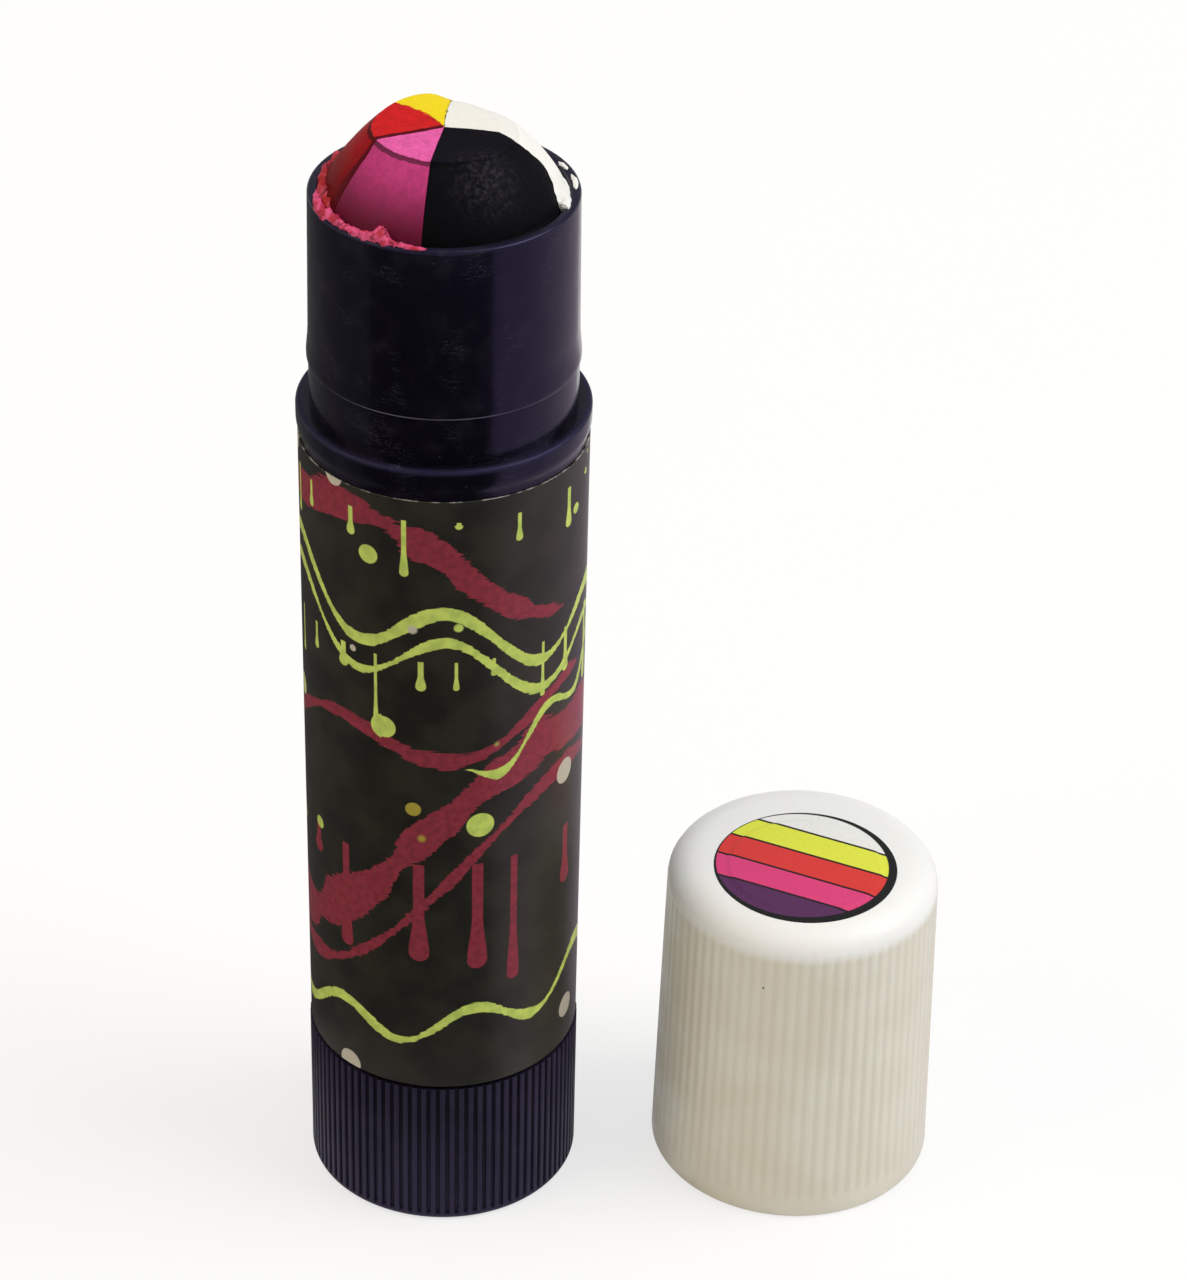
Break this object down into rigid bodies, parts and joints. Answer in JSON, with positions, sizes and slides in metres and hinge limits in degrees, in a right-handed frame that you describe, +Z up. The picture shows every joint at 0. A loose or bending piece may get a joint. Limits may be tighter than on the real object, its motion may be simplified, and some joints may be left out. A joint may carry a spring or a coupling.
{
  "type": "solid paint marker",
  "caption": "Twist-up stick of solid paint in coloured sectors: a ribbed dial and lead screw raise it through a necked barrel, and its ribbed cap stands beside it.",
  "frame": {"origin": "centre of the dial's flat underside, on the surface that the marker stands on", "axes": "+Z up along the barrel, +X towards the cap that stands beside it, +Y away from the picture's camera"},
  "size_m": [0.0586, 0.0278, 0.1067],
  "materials": {
    "barrel_plastic": "moulded, satin, very dark violet blue",
    "label_film": "printed film, matte dark charcoal",
    "dial_plastic": "moulded, satin, very dark violet blue",
    "screw_plastic": "moulded, satin",
    "carrier_plastic": "moulded, satin",
    "paint_violet": "dry solid paint, waxy, nearly black violet",
    "paint_white": "dry solid paint, waxy",
    "paint_yellow": "dry solid paint, waxy",
    "paint_red": "dry solid paint, waxy",
    "paint_pink": "dry solid paint, waxy",
    "cap_plastic": "moulded, satin, slightly translucent off-white",
    "disc_film": "printed sticker"
  },
  "bodies": {
    "barrel": {"barrel": "barrel_plastic", "label_wrap": "label_film"},
    "dial": {"twist_dial": "dial_plastic", "lead_screw": "screw_plastic"},
    "carrier": {"carrier_cup": "carrier_plastic", "paint_violet": "paint_violet", "paint_white": "paint_white", "paint_yellow": "paint_yellow", "paint_red": "paint_red", "paint_pink": "paint_pink"},
    "cap": {"cap_shell": "cap_plastic", "cap_disc": "disc_film"}
  },
  "joints": [
    {"name": "dial_turn", "type": "hinge", "parent": "barrel", "child": "dial", "pos_m": [0, 0, 0], "axis": [0, 0, 1], "range_deg": [-469, 4645]},
    {"name": "carrier_rise", "type": "slide", "parent": "barrel", "child": "carrier", "axis": [0, 0, 1], "range_m": [-0.0065, 0.0645]},
    {"name": "cap_lift", "type": "slide", "parent": "barrel", "child": "cap", "axis": [0, 0, 1], "range_m": [0, 0.12]}
  ],
  "couplings": [
    {"joint": "dial_turn", "follows": "carrier_rise", "rad_per_m": 1256.6}
  ]
}
